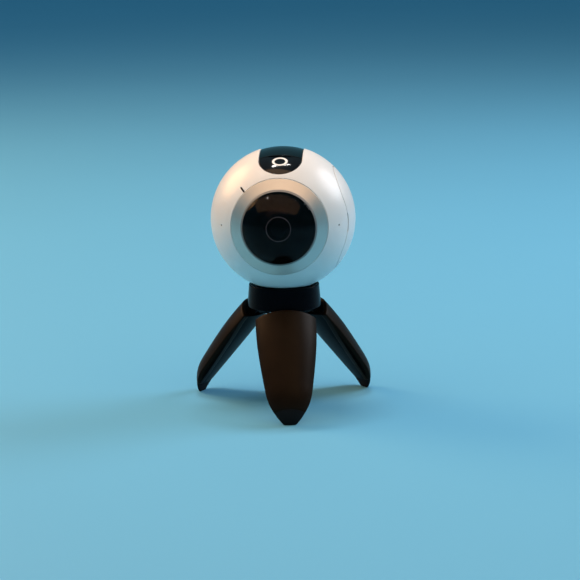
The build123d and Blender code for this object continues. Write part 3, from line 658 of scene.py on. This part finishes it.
def panel_piece(name, low, high, half, depth, edge, finish, body, nodes):
    """A piece of the panel from low to high in y, cut by the panel's outline and by one edge."""
    spacing, columns, wide = 0.3, 60, 18.2
    count = round((high - low) / spacing)

    def place(r, c):
        x, y = -wide / 2 + wide * c / (columns - 1), low + (high - low) * r / count
        return panel_surface(Vector((x, y, 0)))

    def outline(p):
        return -slot_distance(p.y, p.x, PANEL_END, half - LIP)

    bm = bmesh.new()
    grid(bm, count + 1, columns, place, wrap=False)
    for cut in (outline, edge):
        trim(bm, cut, panel_surface, panel_normal, snap=0.07)
    normals = {v: panel_normal(v.co) for v in bm.verts}
    roll_edges(bm, [outline, edge], panel_normal, depth, normals)
    finish_bmesh(name, bm, normals, panel_normal, finish, body, nodes)


panel_piece("top_panel_glass", -11.6, 21.6, PANEL_HALF, 1.2, lambda p: p.y + CREASE - LIP,
            panel_gloss, "camera", ["top_panel"])
panel_piece("record_button_cap", -21.6, -10.6, PANEL_HALF - FIT, 0.7,
            lambda p: -p.y - CREASE - CREASE_GAP - LIP, button_gloss, "record_button",
            ["record_button"])

# White ring on the button's facet
mark_middle = Vector((0, -MARK_PLACE, (FACET - MARK_PLACE * sin(TILT)) / cos(TILT)))
mark_turn = Matrix.Rotation(TILT, 3, "X")
MARK_IN, MARK_OUT = 2.2, 3.2
mark_outline = rounded([(MARK_IN, 0.04, 0.02), (MARK_OUT, 0.05, 0.02), (MARK_OUT, -0.08, 0),
                        (MARK_IN, -0.08, 0)])
mark = revolve("record_mark_ring", mark_outline, white_mark, "record_button",
               ["record_mark"], axis="z", origin=Vector())
mark.data.transform(Matrix.Translation((CENTRE + mark_middle) * MM) @ mark_turn.to_4x4())

# Lens modules, in (out, along) pairs from the middle of the ball
RING_EDGE = sqrt(BALL**2 - RING_OUT**2)
RING_BACK = 21.6                              # where the rings end in the shell
RIM, RIM_AT, RIM_BACK = 15.05, 25.27, 24.6    # radius of the dome's rim, its front and its back
DOME_TOP, DOME_WALL = 33.35, 1.0
CAP_REACH, CAP_RISE, CAP_TOP = 5.0, 1.7, 29.9    # seat radius, rise and top of the inner lens
CAP_EDGE, CAP_EDGE_AT, CAP_BACK = 4.97, 28.15, 26.0    # radius of its edge, and that edge's ends
CLAMP_IN, CLAMP_OUT, CLAMP_TOP, CLAMP_BACK = 4.8, 5.08, 28.55, 28.2    # thin ring round it
BAFFLES, BAFFLE_FROM, BAFFLE_STEP = 4, 10.2, 0.55      # fine steps in the cone round both
BAFFLE_AT, BAFFLE_RISE = 23.5, 0.12


def ball_of(reach, rise):
    """Radius of the ball of which a cap of a given half width and height is cut."""
    return (reach**2 + rise**2) / (2 * rise)


DOME = ball_of(RIM, DOME_TOP - RIM_AT)
dome_hub = DOME_TOP - DOME
lens_ball = ball_of(CAP_REACH, CAP_RISE)


def arc_points(radius, hub, far, steps, outward=1):
    """Points of a dome from its top down to a distance off the axis."""
    found = []
    top = acos(sqrt(1 - (far / radius)**2))
    for n in range(steps + 1):
        a = top * n / steps
        found.append((Vector((radius * sin(a), hub + radius * cos(a))),
                      Vector((sin(a), cos(a))) * outward))
    return found


def edge_point(out, along, way_out, way_along):
    """A point of an outline with its normal."""
    return Vector((out, along)), Vector((way_out, way_along))


ring_outline = rounded([(RING_IN, 25.35, 0.1), (RING_OUT, RING_EDGE, 0.16), (RING_OUT, RING_BACK, 0),
                        (15.65, RING_BACK, 0), (RING_IN, 24.1, 0)])
trim_outline = rounded([(14.8, 25.62, 0), (14.86, 25.92, 0.05), (RING_IN - 0.04, 25.42, 0.06),
                        (RING_IN, RIM_BACK, 0), (15.1, RIM_BACK, 0), (15.1, 25.25, 0)])
inner_dome = DOME - DOME_WALL
inner = arc_points(inner_dome, dome_hub, sqrt(inner_dome**2 - (RIM_BACK - dome_hub)**2), 30, -1)
dome_outline = arc_points(DOME, dome_hub, RIM, 40)
dome_outline += [edge_point(RIM, RIM_AT, 1, 0), edge_point(RIM, RIM_BACK, 1, 0),
                 edge_point(RIM, RIM_BACK, 0, -1), (inner[-1][0], Vector((0, -1)))]
dome_outline += list(reversed(inner))
baffles = [(9.5, 24.5, 0.15), (9.6, BAFFLE_AT, 0.1)]
for n in range(BAFFLES):
    out, along = BAFFLE_FROM + n * BAFFLE_STEP, BAFFLE_AT + BAFFLE_RISE * n
    baffles += [(out, along, 0.04), (out + 0.06, along + BAFFLE_RISE, 0.04)]
barrel_outline = rounded(
    [(0, CAP_BACK, 0), (CAP_REACH, CAP_BACK, 0), (CAP_REACH, CLAMP_BACK, 0), (5.1, 28.45, 0.05),
     (5.5, 28.45, 0.1), (5.6, CLAMP_BACK, 0.05), (6.2, CLAMP_BACK, 0.15)] + baffles
    + [(12.35, 24.0, 0.05), (12.75, 24.4, 0.05), (13.8, RIM_BACK, 0.08), (15.3, RIM_BACK, 0),
       (15.3, RING_BACK, 0), (16.9, RING_BACK, 0), (16.9, 20.4, 0), (11.5, 20.4, 0), (11.5, 16, 0),
       (9.4, 16, 0), (9.4, 10, 0), (6.8, 10, 0), (6.8, 6, 0), (0, 6, 0)], closed=False)
cap_outline = arc_points(lens_ball, CAP_TOP - lens_ball, CAP_EDGE, 16)
cap_outline += [edge_point(CAP_EDGE, CAP_EDGE_AT, 1, 0), edge_point(CAP_EDGE, CAP_BACK, 1, 0),
                edge_point(CAP_EDGE, CAP_BACK, 0, -1), edge_point(0, CAP_BACK, 0, -1)]
clamp_outline = rounded([(CLAMP_IN, CLAMP_TOP, 0.06), (CLAMP_OUT, CLAMP_TOP, 0.06),
                         (CLAMP_OUT, CLAMP_BACK, 0), (CLAMP_IN, CLAMP_BACK, 0)])
for name, way in (("front", -1), ("rear", 1)):
    revolve(f"{name}_ring_band", ring_outline, satin_ring, "camera", [f"{name}_ring"],
            way=way, segments=240)
    revolve(f"{name}_trim_band", trim_outline, bright_trim, "camera",
            [f"{name}_trim"], way=way, segments=240)
    revolve(f"{name}_dome_glass", dome_outline, dome_glass, "camera", [f"{name}_dome"],
            way=way, segments=160, closed=False)
    revolve(f"{name}_barrel_stack", barrel_outline, barrel_black, "camera",
            [f"{name}_barrel"], way=way, closed=False)
    revolve(f"{name}_inner_lens_cap", cap_outline, lens_coating, "camera",
            [f"{name}_inner_lens"], way=way, segments=96, closed=False)
    revolve(f"{name}_clamp_ring", clamp_outline, ring_print, "camera",
            [f"{name}_lens_ring"], way=way, segments=96)

# Collar, with heights from the floor
TRIPOD_TWIST = 6.3    # degrees by which the front leg is turned to the right
collar_outline = rounded([(13.8, 50.45, 0.1), (14.65, 50.45, 0.4), (15.45, 40.95, 0.4),
                          (13.8, 40.95, 0.1)])
revolve("collar_band", collar_outline, collar_gloss, "tripod", ["collar"], axis="z",
        segments=180, origin=Vector())

# Three lobes that close the collar's underside between the legs
for number in range(3):
    middle = -90 + TRIPOD_TWIST + 60 + 120 * number
    plan = [(far * cos(radians(middle + a)), far * sin(radians(middle + a)))
            for far, way in ((13.6, 1), (11.6, -1)) for a in range(-27 * way, 28 * way, 6 * way)]
    prism(f"collar_lobe_{number + 1}", plan, 39.9, 41.3, 0.25, collar_gloss, "tripod",
          [], origin=Vector())

# Legs. Distances along a leg run from its hinge end, and outwards from the axis of the folded pod.
LEG_TOP, LEG_END, PAD_START = 6.1, 54.0, 48.6
LEG_GAP = 0.36                       # between two folded legs
LEG_TILT = radians(44.0)
HINGE_OUT, HINGE_HEIGHT = 9.0, 42.95
INNER_AT, INNER_LEAN = 5.6, radians(3.5)
INNER_BOW = 40.0                     # radius of the bowed inner face
LEG_CORNER = 0.45
SKIN = 1.7                           # thickness of the outer cover
LEG_AT = (6.1, 16.04, 28.38, 38.32, 44.82, 49.24, 51.69, 52.6, 53.3, 54.0)
LEG_RADII = (14.9, 14.57, 13.23, 11.65, 9.9, 7.03, 4.75, 3.5, 2.1, 0.8)
ARC, TURN, INNER = 40, 4, 10         # steps of the outer arc, a corner and the inner face


def spline(xs, ys):
    """Natural cubic curve through the points, as a function."""
    n = len(xs)
    h = [xs[i + 1] - xs[i] for i in range(n - 1)]
    alpha = [0.0] * n
    for i in range(1, n - 1):
        alpha[i] = 3 * ((ys[i + 1] - ys[i]) / h[i] - (ys[i] - ys[i - 1]) / h[i - 1])
    mu, z = [0.0] * n, [0.0] * n
    for i in range(1, n - 1):
        pivot = 2 * (xs[i + 1] - xs[i - 1]) - h[i - 1] * mu[i - 1]
        mu[i] = h[i] / pivot
        z[i] = (alpha[i] - h[i - 1] * z[i - 1]) / pivot
    c, b, d = [0.0] * n, [0.0] * n, [0.0] * n
    for i in range(n - 2, -1, -1):
        c[i] = z[i] - mu[i] * c[i + 1]
        b[i] = (ys[i + 1] - ys[i]) / h[i] - h[i] * (c[i + 1] + 2 * c[i]) / 3
        d[i] = (c[i + 1] - c[i]) / (3 * h[i])

    def value(x):
        x = min(max(x, xs[0]), xs[-1])
        i = max(k for k in range(n - 1) if x >= xs[k])
        t = x - xs[i]
        return ys[i] + b[i] * t + c[i] * t * t + d[i] * t * t * t
    return value


leg_radius = spline(LEG_AT, LEG_RADII)


def inner_face(t):
    """How far the inner face is from the leg's axis."""
    return INNER_AT - (t - LEG_TOP) * sin(INNER_LEAN) / cos(INNER_LEAN)


def leg_section(t, inset, corner, seam, face=None):
    """Half of a leg's outline at t along it, from its middle outside to the seam inside, as
    (outward, across) points; the other half mirrors it. A leg is a third of a round pod: an
    outer arc, a side that faces the next leg, and a bowed inner face."""
    reach = leg_radius(t) - inset - corner
    gap = LEG_GAP / 2 + inset + corner
    hub = INNER_BOW + (inner_face(t) if face is None else face)
    inner = INNER_BOW - inset - corner
    side = pi / 3 - asin(min(0.99, gap / reach))
    first = Vector((reach * cos(side), reach * sin(side)))
    base = Vector((gap * sin(pi / 3), -gap * cos(pi / 3)))
    run = Vector((cos(pi / 3), sin(pi / 3)))
    away = base - Vector((hub, 0))
    root = away.dot(run)**2 - away.length_squared + inner * inner
    low = -away.dot(run) - sqrt(max(0.0, root))
    if low < (first - base).dot(run) and (base + run * low).y > 0:
        second, turn = base + run * low, radians(150)
    else:
        x = (reach**2 - inner**2 + hub**2) / (2 * hub)
        first = second = Vector((x, sqrt(max(0.0004, reach * reach - x * x))))
        side = atan2(first.y, first.x)
        turn = (side + pi) / 2
    points = [((reach + corner) * cos(side * n / ARC), (reach + corner) * sin(side * n / ARC))
              for n in range(ARC)]
    end = atan2(second.y, second.x - hub)
    for at, start, stop in ((first, side, turn), (second, turn, end)):
        for n in range(TURN + 1):
            a = start + (stop - start) * n / TURN
            points.append((at.x + corner * cos(a), at.y + corner * sin(a)))
    seam_y = max(0.0, second.y - seam)
    bow = inner + corner
    last = pi - atan2(seam_y, sqrt(bow * bow - seam_y * seam_y))
    for n in range(1, INNER + 1):
        a = end + (last - end) * n / INNER
        points.append((hub + bow * cos(a), bow * sin(a)))
    return points


def leg_frame(number):
    """A leg's start on the pod's axis, in millimetres from the floor, and its three directions."""
    angle = radians(-90 + TRIPOD_TWIST + 120 * (number - 1))
    out = Vector((cos(angle), sin(angle), 0))
    up = Vector((0, 0, 1))
    outward = out * cos(LEG_TILT) + up * sin(LEG_TILT)
    along = out * sin(LEG_TILT) - up * cos(LEG_TILT)
    hinge = out * HINGE_OUT + up * HINGE_HEIGHT
    return hinge - outward * HINGE_OUT, outward, along, outward.cross(along)


def leg_mesh(name, number, rows, finish, nodes, closed_ring):
    """A piece of a leg from rows of half outlines, which are mirrored. A closed ring also gets
    ends and is kept above the floor."""
    start, outward, along, across = leg_frame(number)
    bm = bmesh.new()
    rings = []
    for t, half in rows:
        ring = []
        for x, y in [(x, -y) for x, y in reversed(half[1:])] + list(half):
            p = start + outward * x + along * t + across * y
            if closed_ring:
                p.z = max(0.0, p.z)
            ring.append(bm.verts.new(p * MM))
        rings.append(ring)
    count = len(rings[0])
    for a, b in zip(rings, rings[1:]):
        for n in range(count if closed_ring else count - 1):
            m = (n + 1) % count
            bm.faces.new((a[n], a[m], b[m], b[n]))
    if closed_ring:
        bm.faces.new(rings[0])
        bm.faces.new(list(reversed(rings[-1])))
    bmesh.ops.dissolve_degenerate(bm, dist=1e-7, edges=bm.edges)
    bmesh.ops.recalc_face_normals(bm, faces=bm.faces)
    mesh = bpy.data.meshes.new(name)
    bm.to_mesh(mesh)
    bm.free()
    make_object(name, mesh, finish, f"leg_{number}", nodes)


def skin_rows():
    """Rows of the outer cover, from inside its top rim over the rounded edge down to the pad."""
    def row(t, inset):
        half = leg_section(max(t, LEG_TOP), inset, LEG_CORNER, SKIN + 0.4)
        x, y = half[-1]
        return t, half + [(x + 0.06, y - 0.06), (x + 0.16, y - 0.09), (x + 0.8, y - 0.1)]

    edge = 0.5
    rows = [row(LEG_TOP + 1.2, SKIN), row(LEG_TOP + 0.15, SKIN), row(LEG_TOP, SKIN - 0.1),
            row(LEG_TOP, (SKIN + edge) / 2)]
    for n in range(6):
        a = pi / 2 * n / 5
        rows.append(row(LEG_TOP + edge * (1 - cos(a)), edge * (1 - sin(a))))
    steps = 56
    for n in range(1, steps + 1):
        rows.append(row(LEG_TOP + edge + (PAD_START - 0.1 - LEG_TOP - edge) * n / steps, 0))
    return rows + [row(PAD_START - 0.03, 0.07), row(PAD_START, 0.2), row(PAD_START, 1.2)]


def pad_rows():
    """Rows of the rubber foot, which carries the leg's form on to a rounded tip."""
    def row(t, inset):
        wide = leg_radius(t) - inset
        face = min(inner_face(t), 0.42 * wide)
        return t, leg_section(t, inset, min(LEG_CORNER, 0.2 * wide), 2.0, face)

    rows = [row(PAD_START, 1.0), row(PAD_START, 0.2), row(PAD_START + 0.03, 0.08),
            row(PAD_START + 0.1, 0.04)]
    steps = 22
    first, last = PAD_START + 0.3, LEG_END - 0.08
    rows += [row(first + (last - first) * n / steps, 0.04) for n in range(steps + 1)]
    end_t, end = rows[-1]
    middle = sum(p[0] for p in end) / len(end)
    for share, step in ((0.7, 0.04), (0.3, 0.07)):
        rows.append((end_t + step, [(middle + (x - middle) * share, y * share) for x, y in end]))
    return rows


for number in (1, 2, 3):
    leg_mesh(f"leg_skin_{number}", number, skin_rows(), leg_cover_finish,
             [f"leg_cover_{number}"], False)
    leg_mesh(f"foot_pad_rubber_{number}", number, pad_rows(), rubber,
             [f"foot_pad_{number}"], True)

# Carried-over CAD nodes get soft edges, smooth curves and a finish
smooth_group = bpy.data.node_groups.new("smooth_curves", "GeometryNodeTree")
smooth_group.interface.new_socket("Geometry", in_out="INPUT", socket_type="NodeSocketGeometry")
smooth_group.interface.new_socket("Geometry", in_out="OUTPUT", socket_type="NodeSocketGeometry")
enter = smooth_group.nodes.new("NodeGroupInput")
leave = smooth_group.nodes.new("NodeGroupOutput")
merge = smooth_group.nodes.new("GeometryNodeMergeByDistance")
merge.inputs["Distance"].default_value = 0.002 * MM
soft = smooth_group.nodes.new("GeometryNodeSetShadeSmooth")
soft.domain = "FACE"
edges = smooth_group.nodes.new("GeometryNodeSetShadeSmooth")
edges.domain = "EDGE"
angle = smooth_group.nodes.new("GeometryNodeInputMeshEdgeAngle")
compare = smooth_group.nodes.new("FunctionNodeCompare")
compare.data_type = "FLOAT"
compare.operation = "GREATER_THAN"
compare.inputs[1].default_value = radians(30)
edges.inputs["Shade Smooth"].default_value = False
link = smooth_group.links.new
link(enter.outputs[0], merge.inputs["Geometry"])
link(merge.outputs["Geometry"], soft.inputs["Geometry"])
link(soft.outputs["Geometry"], edges.inputs["Geometry"])
link(angle.outputs["Unsigned Angle"], compare.inputs[0])
link(compare.outputs["Result"], edges.inputs["Selection"])
link(edges.outputs["Geometry"], leave.inputs[0])

slots = {part["node"]: part["material_slot"] for part in frame["record"]["subparts"]}
for name, node in frame["nodes"].items():
    if node.hide_render:
        continue
    finish = black_and_painted_shade if name == "status_light" else finishes[slots[name]]
    node.data.materials.clear()
    node.data.materials.append(finish)
    modifier = node.modifiers.new("smooth_curves", "NODES")
    modifier.node_group = smooth_group
    bevel = node.modifiers.new("soft_edges", "BEVEL")
    bevel.width = 0.12 * MM
    bevel.segments = 2
    bevel.limit_method = "ANGLE"
    bevel.angle_limit = radians(32)
    bevel.use_clamp_overlap = True

# Floor, light and world. Lamps are in metres and watts.
bm = bmesh.new()
bmesh.ops.create_grid(bm, x_segments=8, y_segments=8, size=6.0)
floor_mesh = bpy.data.meshes.new("floor")
bm.to_mesh(floor_mesh)
bm.free()
floor = bpy.data.objects.new("floor", floor_mesh)
floor.location = (0, 0, -0.02 * MM)
bpy.context.scene.collection.objects.link(floor)
floor_mesh.materials.append(material("floor", (0.11, 0.39, 0.62), 0.62, mottle=0.01, mottle_scale=3))

world = bpy.data.worlds.new("studio")
bpy.context.scene.world = world
world.use_nodes = True
set_inputs(world.node_tree.nodes["Background"], {"Color": (0.062, 0.200, 0.270, 1), "Strength": 1.0})


def lamp(name, place, size, power, colour, long=None):
    """A round lamp, or an oblong one where long is given, pointed at the object."""
    data = bpy.data.lights.new(name, "AREA")
    data.shape = "RECTANGLE" if long else "DISK"
    data.size = size
    if long:
        data.size_y = long
    data.energy = power
    data.color = colour
    obj = bpy.data.objects.new(name, data)
    obj.location = place
    away = Vector((0, 0, 0.07)) - Vector(place)
    obj.rotation_euler = away.to_track_quat("-Z", "Y").to_euler()
    bpy.context.scene.collection.objects.link(obj)


lamp("warm_left", (-0.98, 0.51, 0.77), 0.8, 13.0, (1.0, 0.55, 0.26))
lamp("cool_right", (0.99, 0.51, 0.75), 0.8, 10.0, (0.94, 0.94, 1.0))
lamp("warm_ceiling", (-0.10, -0.50, 1.30), 3.4, 21.0, (1.0, 0.57, 0.28), long=1.2)
lamp("ceiling", (-0.06, 0.25, 1.25), 0.40, 5.0, (1.0, 0.97, 0.93), long=0.04)
lamp("left_point", (-0.47, -0.05, 1.07), 0.03, 0.35, (1.0, 0.98, 0.95))
lamp("right_point", (0.62, -0.10, 1.05), 0.03, 0.16, (1.0, 0.98, 0.95))

bpy.context.scene.view_settings.view_transform = "Standard"
